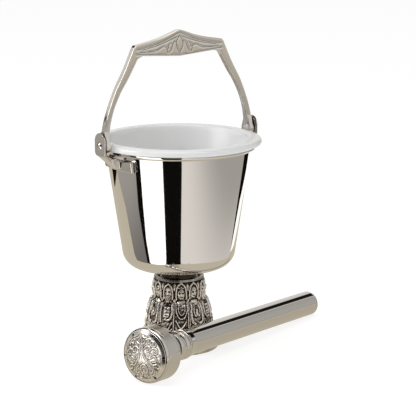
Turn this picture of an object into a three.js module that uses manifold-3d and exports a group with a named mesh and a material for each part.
// Holy water bucket with its sprinkler, in millimetres, +Z up.
// The bucket is built round its own axis, with the bail's pins along X; the sprinkler lies
// beside the foot. At the end the group is moved so that its origin is the middle of the
// footprint, on the table.
import * as THREE from 'three';
import { mergeVertices } from 'three/addons/utils/BufferGeometryUtils.js';
import Module from 'manifold-3d';

const wasm = await Module();
wasm.setup();

// Clearances
const seat = 0.3; // between pieces that touch
const runningGap = 0.3; // round a pin that something turns on
const sideGap = 0.6; // beside the bail's eye

// Spun bucket
const bucketTall = 105; // from its underside to the rolled edge's middle
const bucketRimRadius = 61.65; // outer wall radius at the rolled edge's middle
const bucketTaper = THREE.MathUtils.degToRad(8.53); // of one side
const bucketWall = 1.2;
const bucketCorner = 15; // outer radius of the bottom corner
const rollRadius = 3; // of the rolled edge

// White liner
const linerWall = 1.6;
const linerGap = 0.9; // between the liner and the bucket's wall
const linerCorner = 12;
const linerFloor = 5.4; // height of its underside above the bucket's underside
const lipRadius = 70;
const lipThickness = 3.1;
const lipSkirt = 2.3; // how far the lip hangs over the rolled edge
const lipSkirtWall = 2.6;

// Foot, neck and tie stud
const footHeight = 62.6;
const footBaseRadius = 33.7;
const footTopRadius = 21;
const footWall = 3;
const plinthHeight = 2.6;
const plinthWall = 5.2;
const tierHeight = 42; // height where the upper tier of heads steps back
const figureCount = 12;
const reliefDepth = 2; // of the figures over the ground between them
const footWeb = 4.4; // thickness of the foot's top wall
const footWell = 3; // depth of the dish in the foot's top
const footRimWidth = 2.8;
const neckRadius = 15;
const neckRise = 8.2; // the bucket's underside over the foot's top
const neckFlange = 1.6;
const studRadius = 3;
const studHeadRadius = 11;
const studHeadHeight = 2.2;
const studEnd = 3; // length beyond the nut
const washerRadius = 8;
const washerThickness = 1.5;
const nutAcrossFlats = 10;
const nutHeight = 5;

// Ear brackets and pivot pins
const pivotAboveRim = 6.2; // height of the pins over the rolled edge's middle
const strapHeight = 9;
const strapBelowRim = 6.6; // drop of the strap's upper edge under the same middle
const strapThickness = 2.6;
const strapHalfAngle = THREE.MathUtils.degToRad(19);
const strapRibWidth = 3.2;
const strapRibRise = 1;
const earWidth = 15;
const earThickness = 2.3;
const earAbovePivot = 10.7;
const earBelowPivot = 8.6;
const earCorner = 4;
const shelfWidth = 11;
const shelfThickness = 3.2;
const shelfRoot = 7; // height of its root on the strap
const pinRadius = 2;
const pinHeadRadius = 3.2;
const pinHeadHeight = 1.4;
const pinSink = 1.3; // depth of the countersunk inner end

// Bail, measured from the pins' line
const eyeInner = 70.8; // distance of the eye's inner face from the bucket's axis
const eyeThickness = 4.3;
const eyeRadius = 6.2;
const eyeTaper = 11; // height where the eye has narrowed to the arm
const bailDepth = 5.5;
const bailEdge = 0.9; // rounding of its long edges
const gripHalf = 45; // half width at the shoulders
const gripShoulder = 77.6; // height of the shoulders
const gripApex = 89.5;
const gripBelly = 67.8; // lowest point of the grip's underside
const gripCorner = 40.6; // half width of the hand opening at its top
const gripPanelDepth = 0.5; // recess of the ornamented field
const panelMargin = 3.6; // border over the field
const panelFoot = 2.4; // border under it
const leafHalf = 2; // half width of the leaf in its middle

// Sprinkler, stations counted along its axis from the head's front ring
const handleRadius = 10.8;
const handleWall = 1.2;
const handleStart = 54;
const handleEnd = 241.3;
const plugDome = 3.4;
const plugSpigot = 10;
const headRadius = 22.6;
const headFront = -2.2;
const headRound = 2.7; // rounding of its front edge
const headBack = 15; // where the knurled band ends
const headShoulder = 3.4;
const headWall = 1.6;
const headNeckRadius = 12.3;
const headNeckEnd = 30;
const faceRadius = 20.9;
const faceThickness = 1.2;
const faceDome = 4.2; // rise of the domed middle
const faceFlat = 2.7; // width of the flat ring with the holes
const faceHoles = 6;
const faceHoleRadius = 1;
const faceTurn = 53.5; // degrees from level to the first hole
const spongeThickness = 10.5;
const threadRadius = 8;
const threadLength = 10;
const waterBore = 3.6;
const sealThickness = 1.5;
const collarRadius = 12.5;
const collarTaper = 7; // length of the cone at its back
const collarSpigot = 12;
const grooveDepth = 0.8;
const sprinklerAngle = THREE.MathUtils.degToRad(18.5); // in plan, from the pins' line
const sprinklerClearance = 0; // added to the distance at which the tube clears the figures
const headSetback = 100.1; // front ring to the point nearest the foot

// Heights of the bucket's underside and of its rolled edge's middle
const bucketBottom = footHeight + neckRise;
const bucketRimHeight = bucketBottom + bucketTall;

// Facets
const roundSteps = 40;
const smallSteps = 14;
const headSteps = 26;
const holeSteps = 5;

// Materials
function metal(color, roughness) {
  return new THREE.MeshStandardMaterial({ color, roughness, metalness: 1 });
}
const polishedNickel = metal(0xcfcac2, 0.08);
const satinNickel = metal(0xb9b2a8, 0.3);
const patinaNickel = metal(0x8f877c, 0.4);
const brightSteel = metal(0xb8b8b8, 0.3);
const whitePlastic = new THREE.MeshStandardMaterial({ color: 0xf2f3f3, roughness: 0.25 });
const blackRubber = new THREE.MeshStandardMaterial({ color: 0x1c1c1c, roughness: 0.8 });
const paleSponge = new THREE.MeshStandardMaterial({ color: 0xd9c27a, roughness: 0.95 });

// Closed solids for joining and cutting
function solid(geometry) {
  const bare = geometry.index ? geometry.clone() : geometry;
  for (const name of ['normal', 'uv']) bare.deleteAttribute(name);
  const welded = mergeVertices(bare, 1e-4);
  const corners = welded.index.array;
  const kept = [];
  for (let i = 0; i < corners.length; i += 3) {
    const [a, b, c] = [corners[i], corners[i + 1], corners[i + 2]];
    if (a !== b && b !== c && c !== a) kept.push(a, b, c);
  }
  const position = welded.getAttribute('position');
  if (signedVolume(position, kept) < 0) kept.reverse();
  const vertProperties = new Float32Array(position.array);
  const triVerts = new Uint32Array(kept);
  return new wasm.Manifold(new wasm.Mesh({ numProp: 3, vertProperties, triVerts }));
}

function signedVolume(position, corners) {
  const [a, b, c] = [new THREE.Vector3(), new THREE.Vector3(), new THREE.Vector3()];
  let volume = 0;
  for (let i = 0; i < corners.length; i += 3) {
    a.fromBufferAttribute(position, corners[i]);
    b.fromBufferAttribute(position, corners[i + 1]);
    c.fromBufferAttribute(position, corners[i + 2]);
    volume += a.dot(b.cross(c)) / 6;
  }
  return volume;
}

function geometryOf(body) {
  const mesh = body.getMesh();
  const geometry = new THREE.BufferGeometry();
  geometry.setAttribute('position', new THREE.BufferAttribute(mesh.vertProperties, 3));
  geometry.setIndex(new THREE.BufferAttribute(mesh.triVerts, 1));
  geometry.computeVertexNormals();
  return geometry;
}

const part = new THREE.Group();

function addPiece(group, name, body, material) {
  const mesh = new THREE.Mesh(geometryOf(body), material);
  mesh.name = name;
  group.add(mesh);
  return mesh;
}

// Profiles are lists of [radius, height] pairs
function arc(radius, height, size, from, to, steps) {
  const points = [];
  for (let i = 0; i <= steps; i++) {
    const angle = THREE.MathUtils.degToRad(from + ((to - from) * i) / steps);
    points.push([radius + size * Math.cos(angle), height + size * Math.sin(angle)]);
  }
  return points;
}

function ring(profile, steps) {
  const points = [...profile, profile[0]].map(([r, h]) => new THREE.Vector2(r, h));
  return new THREE.LatheGeometry(points, steps);
}

function upright(profile, steps = roundSteps) {
  return solid(ring(profile, steps).rotateX(Math.PI / 2));
}

function alongX(profile, steps = headSteps) {
  return solid(ring(profile, steps).rotateZ(-Math.PI / 2));
}

function plate(outline, thickness, edge = 0) {
  const shape = new THREE.Shape(outline.map(([x, y]) => new THREE.Vector2(x, y)));
  const geometry = new THREE.ExtrudeGeometry(shape, {
    depth: thickness - 2 * edge,
    bevelEnabled: edge > 0,
    bevelThickness: edge,
    bevelSize: edge,
    bevelOffset: -edge,
    bevelSegments: 1,
  });
  return geometry.translate(0, 0, edge);
}

// An outline in Y and Z, standing between two values of X
function plateAcrossX(outline, fromX, toX) {
  return solid(
    plate(outline, toX - fromX)
      .rotateY(Math.PI / 2)
      .rotateX(Math.PI / 2)
      .translate(fromX, 0, 0),
  );
}

// An outline in X and Z, centred on Y = 0
function plateAcrossY(outline, thickness, edge = 0) {
  const geometry = plate(outline, thickness, edge);
  return solid(geometry.rotateX(Math.PI / 2).translate(0, thickness / 2, 0));
}

function wallRadius(height) {
  return bucketRimRadius - (bucketRimHeight - height) * Math.tan(bucketTaper);
}

// Middle of a corner arc that touches a floor and a wall leaning out by the taper
function cornerCentre(wallOffset, floor, size) {
  const height = floor + size;
  return wallRadius(height) - wallOffset - size / Math.cos(bucketTaper);
}

const taperDegrees = THREE.MathUtils.radToDeg(bucketTaper);
const boreRadius = studRadius + seat;

// Bucket: a spun cup with a rolled edge and one hole for the stud
const rollCentre = bucketRimRadius - bucketWall + rollRadius;
const rollTop = bucketRimHeight + rollRadius;
const rollReach = ((rollRadius - bucketWall) * Math.cos(bucketTaper)) / rollRadius;
const rollStart = THREE.MathUtils.radToDeg(Math.acos(rollReach)) - taperDegrees - 180;
const bucketCornerCentre = cornerCentre(0, bucketBottom, bucketCorner);
const bucketCornerHeight = bucketBottom + bucketCorner;
const innerCorner = bucketCorner - bucketWall;
const bucketFloor = bucketBottom + bucketWall;
const bucketProfile = [
  [boreRadius, bucketBottom],
  ...arc(bucketCornerCentre, bucketCornerHeight, bucketCorner, -90, -taperDegrees, 5),
  ...arc(rollCentre, bucketRimHeight, rollRadius, rollStart, 180, 7),
  ...arc(bucketCornerCentre, bucketCornerHeight, innerCorner, -taperDegrees, -90, 4),
  [boreRadius, bucketFloor],
];
addPiece(part, 'bucket_shell', upright(bucketProfile), polishedNickel);

// Liner: a tapered cup whose hollow lip sits over the rolled edge
const linerOffset = bucketWall + linerGap;
const linerBottom = bucketBottom + linerFloor;
const linerCentre = cornerCentre(linerOffset, linerBottom, linerCorner);
const linerCornerHeight = linerBottom + linerCorner;
const lipUnder = rollTop + seat;
const lipTop = lipUnder + lipThickness;
const skirtBottom = lipUnder - lipSkirt;
const skirtInner = lipRadius - lipSkirtWall;
const lipInner = wallRadius(lipTop) - linerOffset - linerWall;
const lipCurve = new THREE.SplineCurve([
  new THREE.Vector2(lipRadius, lipUnder - 0.4),
  new THREE.Vector2(lipRadius - 1.4, lipTop - 1.2),
  new THREE.Vector2((lipRadius + lipInner) / 2, lipTop),
  new THREE.Vector2(lipInner + 1.6, lipTop - 0.9),
  new THREE.Vector2(wallRadius(lipUnder) - linerOffset - linerWall, lipUnder - 1.2),
]);
const linerProfile = [
  ...arc(linerCentre, linerCornerHeight, linerCorner, -90, -taperDegrees, 4),
  [wallRadius(lipUnder) - linerOffset, lipUnder],
  [skirtInner, lipUnder],
  [skirtInner, skirtBottom + 0.4],
  [skirtInner + 0.5, skirtBottom],
  [lipRadius - 0.8, skirtBottom],
  ...lipCurve.getPoints(8).map((p) => [p.x, p.y]),
  ...arc(linerCentre, linerCornerHeight, linerCorner - linerWall, -taperDegrees, -90, 4),
  [0, linerBottom + linerWall],
  [0, linerBottom],
];
addPiece(part, 'liner', upright(linerProfile), whitePlastic);

// Foot: outline of the figures' tops, from the plinth to the rim
const footOutline = new THREE.SplineCurve([
  new THREE.Vector2(footBaseRadius, plinthHeight),
  new THREE.Vector2(0.925 * footBaseRadius, 0.33 * tierHeight),
  new THREE.Vector2(0.84 * footBaseRadius, 0.75 * tierHeight),
  new THREE.Vector2(0.765 * footBaseRadius, tierHeight - 1),
  new THREE.Vector2(1.11 * footTopRadius, tierHeight + 2),
  new THREE.Vector2(1.1 * footTopRadius, (tierHeight + footHeight) / 2 + 1),
  new THREE.Vector2(1.045 * footTopRadius, footHeight - 3),
  new THREE.Vector2(footTopRadius, footHeight),
]);

function footRadius(height) {
  let low = 0;
  let high = 1;
  for (let i = 0; i < 24; i++) {
    const middle = (low + high) / 2;
    if (footOutline.getPoint(middle).y < height) low = middle;
    else high = middle;
  }
  return footOutline.getPoint(low).x;
}

function dome(distance) {
  return Math.sqrt(Math.max(0, 1 - distance * distance));
}

// Relief of the figures, drawn in millimetres on a foot 60.4 high: x is the distance from a
// figure's middle line, z the height
function swelling(x, z, middle, half, rise) {
  return rise * dome(Math.hypot((x - middle[0]) / half[0], (z - middle[1]) / half[1]));
}

function ridge(x, z, points, halfWidth, rise) {
  let nearest = Infinity;
  for (let i = 0; i + 1 < points.length; i++) {
    const [ax, az] = points[i];
    const [runX, runZ] = [points[i + 1][0] - ax, points[i + 1][1] - az];
    const share = ((x - ax) * runX + (z - az) * runZ) / (runX ** 2 + runZ ** 2);
    const t = Math.min(1, Math.max(0, share));
    nearest = Math.min(nearest, Math.hypot(x - ax - t * runX, z - az - t * runZ));
  }
  return rise * dome(nearest / halfWidth) ** 1.5;
}

function pair(x, z, points, halfWidth, rise) {
  return ridge(Math.abs(x), z, points, halfWidth, rise);
}

function hood(x, z, top, half) {
  const rim = [[half, 44.5], [1.04 * half, 49], [0.78 * half, top - 3], [0, top]];
  return Math.max(pair(x, z, rim, 0.85, 1.7), swelling(x, z, [0, 48.5], [half, top - 48.5], 0.9));
}

function calmFace(x, z, middle) {
  return swelling(x, z, [0, middle], [3.1, 4.9], 1.5)
    + ridge(x, z, [[0, middle + 1.9], [0, middle - 0.9]], 0.62, 0.6);
}

// Three figures take turns: one in prayer, one with a book, one under a mantle
const figures = [
  (x, z) => [
    hood(x, z, 57.6, 4.3),
    calmFace(x, z, 49.4),
    swelling(x, z, [0, 41.6], [4.4, 2.6], 1.5),
    swelling(x, z, [0, 42.4], [1.4, 1.5], 2.1),
    pair(x, z, [[4.4, 41], [5.6, 33], [5, 26.5], [2.4, 24.4]], 1.5, 1.7),
    pair(x, z, [[2.2, 40], [3, 34], [1.3, 30.5], [0.3, 36]], 0.9, 1.6),
    swelling(x, z, [0, 33.5], [1.3, 3.4], 1.9),
    ridge(x, z, [[0, 23.5], [0, 4.6]], 0.72, 1.5),
    pair(x, z, [[1.9, 23.5], [2.3, 4.6]], 0.72, 1.5),
    pair(x, z, [[3.8, 23.5], [4.2, 14], [5, 4.6]], 0.72, 1.5),
    pair(x, z, [[5.4, 23.5], [5.9, 14], [7.4, 4.6]], 0.72, 1.5),
  ],
  (x, z) => [
    hood(x, z, 57, 4.1),
    calmFace(x, z, 49.8),
    pair(x, z, [[0.9, 47.2], [0.5, 41.8]], 1.4, 1.8),
    ridge(x, z, [[-5, 41], [-5.4, 34], [-4.9, 26.5]], 1.2, 1.8),
    ridge(x, z, [[5, 41], [5.6, 33], [3, 28.5], [-0.4, 28.8]], 1.3, 1.6),
    Math.abs(x - 0.9) < 2.5 && Math.abs(z - 34.6) < 4 ? 1.6 : 0,
    ...[0, 5.4, 10.8, 16.2].map((drop) => Math.max(
      ridge(x, z, [[6, 26.5 - drop], [2.4, 20.4 - drop], [-2.2, 19.6 - drop]], 0.8, 1.4),
      ridge(x, z, [[-6.2, 23.5 - drop], [-4, 17.5 - drop]], 0.7, 1.3),
    )),
  ],
  (x, z) => [
    hood(x, z, 57.8, 4.4),
    calmFace(x, z, 48.8),
    pair(x, z, [[0, 54.8], [1.5, 53.8], [2.9, 54.6]], 0.6, 1.9),
    swelling(x, z, [0, 40.8], [4.6, 3], 1.4),
    pair(x, z, [[4.8, 42], [4.9, 36], [2.7, 30.6], [0, 29.4]], 0.75, 1.8),
    pair(x, z, [[2.7, 41], [2.9, 36.6], [1.6, 33.4], [0, 32.6]], 0.6, 1.6),
    ridge(x, z, [[-6.2, 5.5], [-6, 22], [-5.8, 42]], 0.8, 1.7),
    ...[27, 21, 15].map((level) => ridge(
      x, z, [[-4.2, level], [0.8, level - 5.4], [5.4, level + 1]], 0.75, 1.5,
    )),
    ...[-4.6, -2.2, 0.2, 2.6, 5].map((place) => ridge(
      x, z, [[place, 11.5], [1.2 * place, 4.6]], 0.65, 1.3,
    )),
  ],
];

function figureRelief(kind, x, z, half) {
  const edge = Math.abs(Math.abs(x) - half);
  const robe = z < 43 ? 0.5 * dome(x / (0.93 * half)) : 0;
  const stem = z > 4 && z < 42 ? dome(edge / 0.75) : 0;
  const boss = swelling(edge, z, [0, 43.4], [1.5, 1.8], 1.6);
  const cap = swelling(edge, z, [0, 54.6], [1.3, 3.6], 1.1);
  return Math.min(reliefDepth, Math.max(robe, stem, boss, cap, ...figures[kind](x, z)));
}

// Grid of the relief: shares of a figure's half width, and heights on the foot 60.4 high
const designHeight = 60.4;
const figureColumns = [-0.84, -0.58, -0.3, 0, 0.3, 0.58, 0.84, 1];
const figureRows = [
  2.6, 4.6, 9, 13.5, 18, 22, 25.5, 29, 32, 35, 38, 41, 43.6, 46, 49, 52, 54.8, 57.4, 58.8, 60.4,
];

// Mean height of the relief round a grid point, so that a coarse grid keeps its main forms
function coarseRelief(kind, share, row, half) {
  let sum = 0;
  for (const stepAcross of [-0.12, 0, 0.12]) {
    for (const stepUp of [-1, 0, 1]) {
      sum += figureRelief(kind, (share + stepAcross) * half, figureRows[row] + stepUp, half);
    }
  }
  return sum / 9;
}

function footSkin() {
  const columns = figureColumns.length * figureCount;
  const corners = [0, 0, 0];
  for (let row = -1; row < figureRows.length; row++) {
    const height = row < 0 ? 0 : (figureRows[row] * footHeight) / designHeight;
    const outer = row < 0 ? footBaseRadius : footRadius(height);
    const half = (Math.PI * outer) / figureCount;
    const plain = row < 1 || row > figureRows.length - 3;
    for (let figure = 0; figure < figureCount; figure++) {
      for (const share of figureColumns) {
        const mirrored = figure % 2 ? share : -share;
        const relief = plain ? reliefDepth : coarseRelief(figure % 3, mirrored, row, half);
        const radius = outer - reliefDepth + relief;
        const angle = ((figure + share / 2) * 2 * Math.PI) / figureCount;
        corners.push(radius * Math.cos(angle), radius * Math.sin(angle), height);
      }
    }
  }
  corners.push(0, 0, footHeight);
  const faces = [];
  const top = corners.length / 3 - 1;
  for (let column = 0; column < columns; column++) {
    const next = (column + 1) % columns;
    faces.push(0, 1 + next, 1 + column);
    for (let row = 0; row < figureRows.length; row++) {
      const [a, b] = [1 + row * columns + column, 1 + row * columns + next];
      const [c, d] = [a + columns, b + columns];
      faces.push(a, b, d, a, d, c);
    }
    faces.push(top - columns + column, top - columns + next, top);
  }
  const geometry = new THREE.BufferGeometry();
  geometry.setAttribute('position', new THREE.Float32BufferAttribute(corners, 3));
  geometry.setIndex(faces);
  return solid(geometry);
}

const wellFloor = footHeight - footWell;
const webUnder = wellFloor - footWeb;
const wellRadius = footTopRadius - footRimWidth;
const cavityTop = footTopRadius - footRimWidth - footWall;
const footCavity = upright([
  [0, -1],
  [footBaseRadius - plinthWall, -1],
  [footBaseRadius - plinthWall, plinthHeight],
  [cavityTop + 1.5, webUnder - 3],
  [cavityTop, webUnder],
  [0, webUnder],
], headSteps);
const footDish = upright([
  [0, wellFloor],
  [wellRadius, wellFloor],
  [wellRadius, footHeight + 1],
  [0, footHeight + 1],
], headSteps);
const studBore = upright([
  [0, webUnder - 1],
  [boreRadius, webUnder - 1],
  [boreRadius, wellFloor + 1],
  [0, wellFloor + 1],
], smallSteps);
const footBody = footSkin().subtract(footCavity).subtract(footDish).subtract(studBore);
addPiece(part, 'foot_casting', footBody, patinaNickel);

// Neck between foot and bucket, waisted, with a flange in the foot's dish
const neckBottom = wellFloor + seat;
const neckTop = bucketBottom - seat;
const neckMiddle = (neckBottom + neckFlange + neckTop) / 2;
addPiece(part, 'neck_spacer', upright([
  [boreRadius, neckBottom],
  [neckRadius + 1.6, neckBottom],
  [neckRadius + 1.6, neckBottom + neckFlange],
  [neckRadius - 0.6, neckBottom + neckFlange + 0.6],
  [neckRadius - 1.6, neckMiddle],
  [neckRadius, neckTop - 0.8],
  [neckRadius, neckTop],
  [boreRadius, neckTop],
], headSteps), satinNickel);

// Stud, washer and nut that tie bucket, neck and foot together
const washerTop = webUnder - seat;
const nutTop = washerTop - washerThickness - seat;
const nutBottom = nutTop - nutHeight;
const studHeadBottom = bucketFloor + seat;
addPiece(part, 'tie_stud', upright([
  [0, nutBottom - studEnd],
  [studRadius - 0.6, nutBottom - studEnd],
  [studRadius, nutBottom - studEnd + 0.6],
  [studRadius, studHeadBottom],
  [studHeadRadius, studHeadBottom],
  [studHeadRadius, studHeadBottom + studHeadHeight - 0.7],
  [studHeadRadius - 1, studHeadBottom + studHeadHeight],
  [0, studHeadBottom + studHeadHeight],
], smallSteps), brightSteel);
addPiece(part, 'foot_washer', upright([
  [boreRadius, washerTop - washerThickness],
  [washerRadius, washerTop - washerThickness],
  [washerRadius, washerTop],
  [boreRadius, washerTop],
], smallSteps), brightSteel);
const nutRadius = nutAcrossFlats / 2 / Math.cos(Math.PI / 6);
const nutHexagon = upright([
  [0, nutBottom],
  [nutRadius, nutBottom],
  [nutRadius, nutTop],
  [0, nutTop],
], 6);
const nutBore = upright([
  [0, nutBottom - 1],
  [boreRadius, nutBottom - 1],
  [boreRadius, nutTop + 1],
  [0, nutTop + 1],
], smallSteps);
addPiece(part, 'foot_nut', nutHexagon.subtract(nutBore), brightSteel);

// Ear brackets: a curved strap on the wall, a shelf under the lip and an upright ear
const pivotHeight = bucketRimHeight + pivotAboveRim;
const strapTop = bucketRimHeight - strapBelowRim;
const earInner = eyeInner + eyeThickness + sideGap;
const earOuter = earInner + earThickness;
const earTop = pivotHeight + earAbovePivot;
const earBottom = pivotHeight - earBelowPivot;
const strapBottom = strapTop - strapHeight;

function sector(halfAngle, radius) {
  const [x, y] = [radius * Math.cos(halfAngle), radius * Math.sin(halfAngle)];
  const wedge = [[0, 0], [x, -y], [x, y]];
  return solid(plate(wedge, strapHeight + 2).translate(0, 0, strapBottom - 1));
}

function strapRing(thickness) {
  return upright([
    [wallRadius(strapBottom) + seat, strapBottom],
    [wallRadius(strapBottom) + seat + thickness - 0.8, strapBottom],
    [wallRadius(strapBottom) + seat + thickness, strapBottom + 0.8],
    [wallRadius(strapTop) + seat + thickness, strapTop - 0.8],
    [wallRadius(strapTop) + seat + thickness - 0.8, strapTop],
    [wallRadius(strapTop) + seat, strapTop],
  ]);
}

function earOutline() {
  const half = earWidth / 2;
  return [
    ...arc(-half + earCorner, earBottom + earCorner, earCorner, 180, 270, 4),
    ...arc(half - earCorner, earBottom + earCorner, earCorner, -90, 0, 4),
    ...arc(0, earTop - half, half, 0, 180, 12),
  ];
}

function bracket() {
  const reach = 2 * bucketRimRadius;
  const ribAngle = strapHalfAngle - strapRibWidth / bucketRimRadius;
  const strap = strapRing(strapThickness).intersect(sector(strapHalfAngle, reach));
  const ribs = strapRing(strapThickness + strapRibRise)
    .intersect(sector(strapHalfAngle, reach))
    .subtract(sector(ribAngle, reach));
  const rootInner = wallRadius(strapTop) + seat + strapThickness / 2;
  const shelf = plateAcrossY([
    [rootInner, strapTop - shelfRoot],
    [rootInner + 2, strapTop - shelfRoot],
    [earOuter - 1.2, earBottom],
    [earOuter, earBottom + 1.2],
    [earInner, earBottom + shelfThickness - 1],
    [earInner - 1.5, earBottom + 0.4],
    [rootInner + 3, strapTop],
    [rootInner, strapTop],
  ], shelfWidth);
  const ear = plateAcrossX(earOutline(), earInner, earOuter);
  const hole = alongX([
    [0, earInner - 1],
    [pinRadius + seat, earInner - 1],
    [pinRadius + seat, earOuter + 1],
    [0, earOuter + 1],
  ], smallSteps).translate([0, 0, pivotHeight]);
  return strap.add(ribs).add(shelf).add(ear).subtract(hole);
}

function pivotPin() {
  const inner = eyeInner - seat;
  const outer = earOuter + seat;
  return alongX([
    [0, inner],
    [pinRadius + pinSink, inner],
    [pinRadius, inner + pinSink],
    [pinRadius, outer],
    [pinHeadRadius, outer],
    [pinHeadRadius - 0.5, outer + 0.6 * pinHeadHeight],
    [0.5 * pinHeadRadius, outer + pinHeadHeight],
    [0, outer + pinHeadHeight],
  ], smallSteps).translate([0, 0, pivotHeight]);
}

for (const [side, turn] of [['right', 0], ['left', Math.PI]]) {
  const bracketMesh = addPiece(part, `${side}_bracket`, bracket(), satinNickel);
  const pinMesh = addPiece(part, `${side}_pivot_pin`, pivotPin(), satinNickel);
  bracketMesh.rotation.z = turn;
  pinMesh.rotation.z = turn;
}

// Bail: one casting, drawn from the pins' line up and mirrored
// Each curve's points are shares of the arm's lean and height, or of the grip's width and rise
function curve(shares, startX, spanX, startZ, spanZ) {
  const points = shares.map(([across, up]) => {
    return new THREE.Vector2(startX + spanX * across, startZ + spanZ * up);
  });
  return new THREE.SplineCurve(points);
}

const outerLean = eyeInner + eyeThickness - gripHalf;
const innerLean = eyeInner - gripCorner;
const gripRise = gripApex - gripShoulder;
const bailOuter = curve(
  [[1, 0.039], [0.949, 0.2], [0.822, 0.361], [0.593, 0.567], [0.275, 0.78], [0, 1]],
  gripHalf, outerLean, 0, gripShoulder,
);
const bailInner = curve(
  [[0.029, 1.009], [0.337, 0.782], [0.588, 0.615], [0.801, 0.428], [0.935, 0.229], [1, 0.044]],
  gripCorner, innerLean, 0, gripBelly,
);
const gripTop = curve(
  [[0.964, 0.143], [0.578, 0.395], [0.333, 0.622], [0.089, 0.933]],
  0, gripHalf, gripShoulder, gripRise,
);
const gripUnder = curve(
  [[0, 0], [0.493, 0.126], [0.901, 0.218]],
  0, gripCorner, gripBelly, gripRise,
);

function mirrored(half) {
  const other = half.slice().reverse().map(([x, z]) => [-x, z]);
  return [...half, ...other];
}

const bailHalf = [
  ...bailOuter.getPoints(12).map((p) => [p.x, p.y]),
  ...gripTop.getPoints(7).map((p) => [p.x, p.y]),
  [0.022 * gripHalf, gripApex],
];
const handHalf = [
  ...gripUnder.getPoints(6).slice(1).map((p) => [p.x, p.y]),
  ...bailInner.getPoints(12).map((p) => [p.x, p.y]),
];
const bailShape = [
  ...mirrored(bailHalf),
  ...mirrored(handHalf.slice().reverse()).map(([x, z]) => [-x, z]),
];

function bailEye() {
  const waist = bailDepth / 2;
  const tangent = THREE.MathUtils.radToDeg(Math.asin((eyeRadius - waist) / eyeTaper));
  const outline = [
    ...arc(0, 0, eyeRadius, 180 - tangent, 360 + tangent, 18),
    [waist, eyeTaper],
    [-waist, eyeTaper],
  ];
  return plateAcrossX(outline, eyeInner, eyeInner + eyeThickness);
}

function eyeBore() {
  const bore = pinRadius + runningGap;
  return alongX([
    [0, eyeInner - 1],
    [bore + pinSink + 1, eyeInner - 1],
    [bore, eyeInner + pinSink],
    [bore, eyeInner + eyeThickness + 1],
    [0, eyeInner + eyeThickness + 1],
  ], smallSteps);
}

// Sunk field of the grip, inside its border, on both faces
const panelTop = gripTop.getPoints(6).map((p) => [p.x * 0.86, p.y - panelMargin]);
const panelUnder = gripUnder.getPoints(5).map((p) => [p.x * 1.03, p.y + panelFoot]);
const panelTip = [0.4 * leafHalf, gripApex - 1.28 * panelMargin];
const panelHalf = [...panelUnder.slice(1), ...panelTop, panelTip];
const panelShape = [
  [0, gripBelly + panelFoot],
  ...panelHalf,
  ...panelHalf.slice().reverse().map(([x, z]) => [-x, z]),
];
const panelCut = plateAcrossY(panelShape, bailDepth)
  .subtract(plateAcrossY(panelShape, bailDepth - 2 * gripPanelDepth));

// Leaf in the middle of the field
const gripTall = gripApex - gripBelly;
const leaf = plateAcrossY([
  [0, gripBelly + 0.09 * gripTall],
  [leafHalf, gripBelly + 0.37 * gripTall],
  [0.7 * leafHalf, gripApex - 0.37 * gripTall],
  [0, gripApex - 0.18 * gripTall],
  [-0.7 * leafHalf, gripApex - 0.37 * gripTall],
  [-leafHalf, gripBelly + 0.37 * gripTall],
], bailDepth - 0.4 * gripPanelDepth);

let bailBody = plateAcrossY(bailShape, bailDepth, bailEdge).subtract(panelCut).add(leaf);
for (const turn of [0, 180]) {
  bailBody = bailBody.add(bailEye().rotate([0, 0, turn]));
  bailBody = bailBody.subtract(eyeBore().rotate([0, 0, turn]));
}
const bailMesh = addPiece(part, 'bail', bailBody, satinNickel);
bailMesh.position.z = pivotHeight;

// Sprinkler: its group's X axis runs from the head's front ring to the tail
const sprinkler = new THREE.Group();
part.add(sprinkler);

// Head: a cup with a threaded neck at its back
const cupInner = headRadius - headWall;
const faceSeat = headFront + 1.6;
const cupBackInner = headBack + headShoulder - headWall;
const neckBore = threadRadius + seat;
const nippleStart = headNeckEnd - threadLength;
addPiece(sprinkler, 'head_body', alongX([
  [neckBore, headNeckEnd],
  [neckBore, nippleStart - 1],
  [neckBore - 1.6, nippleStart - 1],
  [neckBore - 1.6, cupBackInner],
  [cupInner - 2.5, cupBackInner],
  [cupInner - 1, faceSeat],
  [faceRadius + seat, faceSeat],
  [faceRadius + seat, headFront],
  ...arc(headRadius - headRound, headFront + headRound, headRound, -50, 0, 4),
  [headRadius, headBack],
  ...arc(headRadius - headShoulder, headBack, headShoulder, 0, 75, 4),
  [headNeckRadius + 1.4, headBack + headShoulder + 1],
  [headNeckRadius, headBack + headShoulder + 2.6],
  [headNeckRadius, headNeckEnd],
]), polishedNickel);

// Face: a domed disc with a ring of sprinkling holes
const domeRadius = faceRadius - faceFlat;
const faceBack = faceSeat - seat;
const faceFront = faceBack - faceThickness;
const domeBall = (domeRadius ** 2 + faceDome ** 2) / (2 * faceDome);
const domeEdge = THREE.MathUtils.radToDeg(Math.asin(domeRadius / domeBall));
const domeMiddle = faceFront - faceDome + domeBall;
const faceBody = alongX([
  [0, faceFront - faceDome],
  ...arc(0, domeMiddle, domeBall, -90, -90 + domeEdge, 5).slice(1),
  [faceRadius - 0.5, faceFront],
  [faceRadius, faceFront + 0.5],
  [faceRadius, faceBack],
  [domeRadius, faceBack],
  ...arc(0, domeMiddle, domeBall - faceThickness, -90 + domeEdge, -90, 4).slice(1, -1),
  [0, faceFront - faceDome + faceThickness],
]);
let face = faceBody;
for (let i = 0; i < faceHoles; i++) {
  const hole = alongX([
    [0, faceFront - 1],
    [faceHoleRadius, faceFront - 1],
    [faceHoleRadius, faceBack + 1],
    [0, faceBack + 1],
  ], holeSteps);
  const angle = faceTurn + (i * 360) / faceHoles;
  face = face.subtract(hole.translate([0, domeRadius + 0.45 * faceFlat, 0]).rotate([angle, 0, 0]));
}
addPiece(sprinkler, 'face_plate', face, satinNickel);

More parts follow.
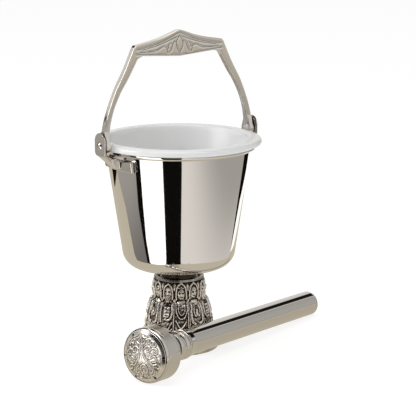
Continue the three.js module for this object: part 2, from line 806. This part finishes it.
// Sponge that fills the cup
const spongeBack = cupBackInner - seat;
const spongeFront = spongeBack - spongeThickness;
addPiece(sprinkler, 'sponge', alongX([
  [0, spongeFront],
  [cupInner - 3.6, spongeFront],
  [cupInner - 2.5 - seat, spongeFront + 1.4],
  [cupInner - 2.5 - seat, spongeBack],
  [0, spongeBack],
], smallSteps), paleSponge);

// Sealing washer between the head's neck and the collar
const sealStart = headNeckEnd + seat;
const sealEnd = sealStart + sealThickness;
addPiece(sprinkler, 'sealing_washer', alongX([
  [neckBore, sealStart],
  [headNeckRadius - 0.4, sealStart],
  [headNeckRadius - 0.4, sealEnd],
  [neckBore, sealEnd],
], headSteps), blackRubber);

// Collar with the nipple in front, two grooves, a cone and a spigot in the tube
const collarStart = sealEnd + seat;
const collarEnd = handleStart - seat;
const coneStart = collarEnd - collarTaper;
const spigotRadius = handleRadius - handleWall - seat;

function groove(station) {
  return [
    [collarRadius, station - grooveDepth],
    [collarRadius - grooveDepth, station],
    [collarRadius, station + grooveDepth],
  ];
}

addPiece(sprinkler, 'neck_collar', alongX([
  [waterBore, nippleStart],
  [threadRadius - 0.7, nippleStart],
  [threadRadius, nippleStart + 0.7],
  [threadRadius, collarStart],
  [collarRadius - 0.6, collarStart],
  [collarRadius, collarStart + 0.6],
  ...groove(collarStart + 7.6),
  ...groove(coneStart - 1.6),
  [collarRadius, coneStart],
  [handleRadius + 0.4, collarEnd],
  [spigotRadius, collarEnd],
  [spigotRadius, collarEnd + collarSpigot],
  [waterBore, collarEnd + collarSpigot],
]), polishedNickel);

// Handle tube and its domed tail plug
addPiece(sprinkler, 'handle_tube', alongX([
  [handleRadius - handleWall, handleStart],
  [handleRadius - 0.3, handleStart],
  [handleRadius, handleStart + 0.3],
  [handleRadius, handleEnd],
  [handleRadius - handleWall, handleEnd],
]), polishedNickel);
const plugStart = handleEnd + seat;
const plugEdge = 1.2;
const plugBandEnd = plugStart + 0.4;
addPiece(sprinkler, 'tail_plug', alongX([
  [0, plugStart - plugSpigot],
  [spigotRadius, plugStart - plugSpigot],
  [spigotRadius, plugStart],
  [handleRadius, plugStart],
  [handleRadius, plugBandEnd],
  ...arc(handleRadius - plugEdge, plugBandEnd, plugEdge, 25, 75, 2),
  [0.5 * handleRadius, plugStart + 0.8 * plugDome],
  [0, plugStart + plugDome],
]), polishedNickel);

// The sprinkler rests on the back edge of its head and on its tail
const tilt = Math.atan((headRadius - handleRadius) / (plugBandEnd - headBack));
const axisHeight = headRadius * Math.cos(tilt) + headBack * Math.sin(tilt);
const besideHeight = axisHeight - headSetback * Math.sin(tilt);
const sprinklerOffset = footRadius(besideHeight) + handleRadius + sprinklerClearance;
const along = new THREE.Vector2(Math.cos(sprinklerAngle), Math.sin(sprinklerAngle));
const away = new THREE.Vector2(along.y, -along.x);
sprinkler.rotation.set(0, tilt, sprinklerAngle, 'ZYX');
sprinkler.position.set(
  away.x * sprinklerOffset - along.x * headSetback,
  away.y * sprinklerOffset - along.y * headSetback,
  axisHeight,
);

// Origin: middle of the footprint, on the table
part.updateMatrixWorld(true);
const extent = new THREE.Box3().setFromObject(part, true);
const middle = extent.getCenter(new THREE.Vector3());
part.position.set(-middle.x, -middle.y, -extent.min.z);

export default part;
